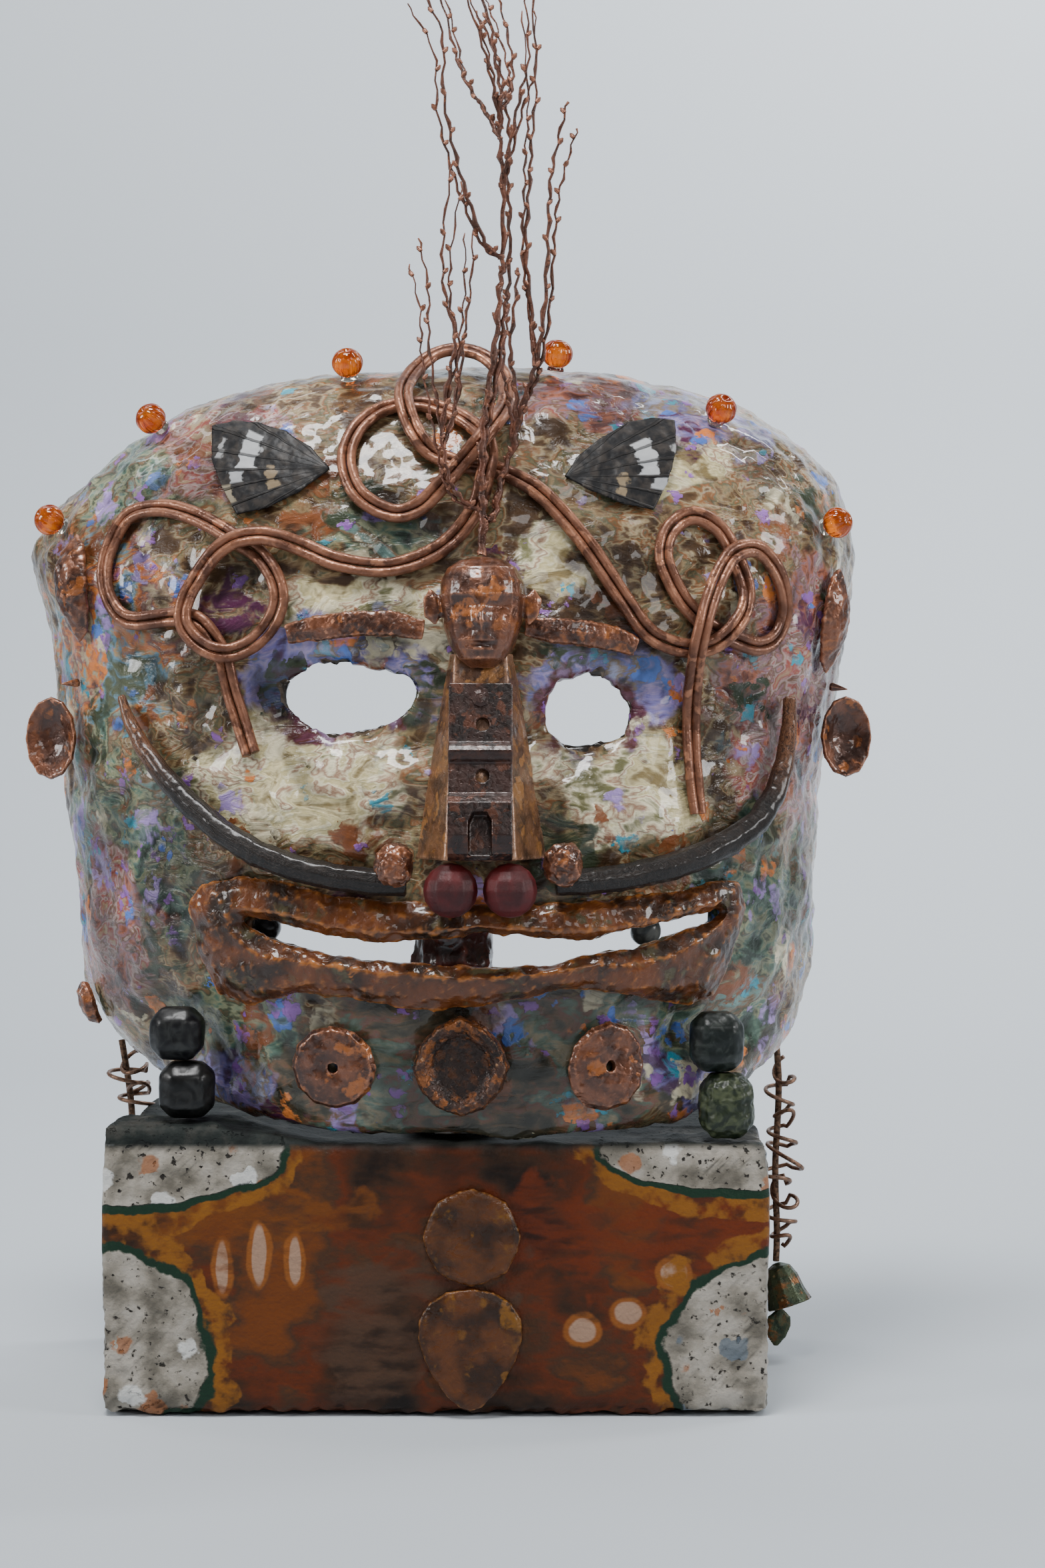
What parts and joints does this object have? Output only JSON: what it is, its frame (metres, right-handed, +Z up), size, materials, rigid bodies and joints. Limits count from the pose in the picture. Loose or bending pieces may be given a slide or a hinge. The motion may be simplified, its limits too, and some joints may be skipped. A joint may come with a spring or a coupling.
{
  "type": "costume mask on a block stand",
  "caption": "Painted papier-mache costume mask with eye holes and mouth slit, dressed with copper-painted wire, twigs and found hardware, standing on a painted stone block.",
  "frame": {"origin": "middle of the block's underside", "axes": "+Z up, -Y out of the face towards the viewer, +X to the viewer's right"},
  "size_m": [0.2781, 0.1468, 0.4366],
  "materials": {
    "painted_paper": "gloss",
    "copper_paint": "satin",
    "rust_paint": "gloss",
    "dark_horn": "satin",
    "rusty_iron": "satin",
    "red_glass": "frosted",
    "amber_glass": "gloss",
    "black_stone": "gloss",
    "green_stone": "satin",
    "painted_stone": "satin",
    "leather": "matte",
    "brown_wire": "satin",
    "green_bronze": "satin",
    "dark_post": "gloss",
    "insect_wing": "satin"
  },
  "bodies": {
    "root": {"mask_shell": "painted_paper", "lips": "rust_paint", "wire_loops": "copper_paint", "twigs": "copper_paint", "small_head": "copper_paint", "nose_wedge": "copper_paint", "latch": "rusty_iron", "latch_screw": "rusty_iron", "marble_left": "red_glass", "marble_right": "red_glass", "nugget_left": "copper_paint", "nugget_right": "copper_paint", "tusk_left": "dark_horn", "tusk_right": "dark_horn", "brow_left": "copper_paint", "brow_right": "copper_paint", "wing_left": "insect_wing", "wing_right": "insect_wing", "bead_1": "amber_glass", "bead_2": "amber_glass", "bead_3": "amber_glass", "bead_4": "amber_glass", "bead_5": "amber_glass", "bead_6": "amber_glass", "ear_left": "copper_paint", "ear_right": "copper_paint", "thorn_left": "copper_paint", "thorn_right": "copper_paint", "pod_left": "copper_paint", "pod_right": "copper_paint", "disc_left": "copper_paint", "disc_right": "copper_paint", "chin_cap": "rusty_iron", "stone_left_low": "black_stone", "stone_left_high": "black_stone", "stone_right_low": "green_stone", "stone_right_high": "green_stone", "corner_bead_left": "black_stone", "corner_bead_right": "black_stone", "support_post": "dark_post", "block": "painted_stone", "flower": "copper_paint", "leaf": "copper_paint", "knot_left": "copper_paint", "thong_left": "leather", "wire_left": "brown_wire", "thong_right": "leather", "wire_right": "brown_wire", "bell": "green_bronze", "charm_leaf": "green_bronze"}
  },
  "joints": []
}
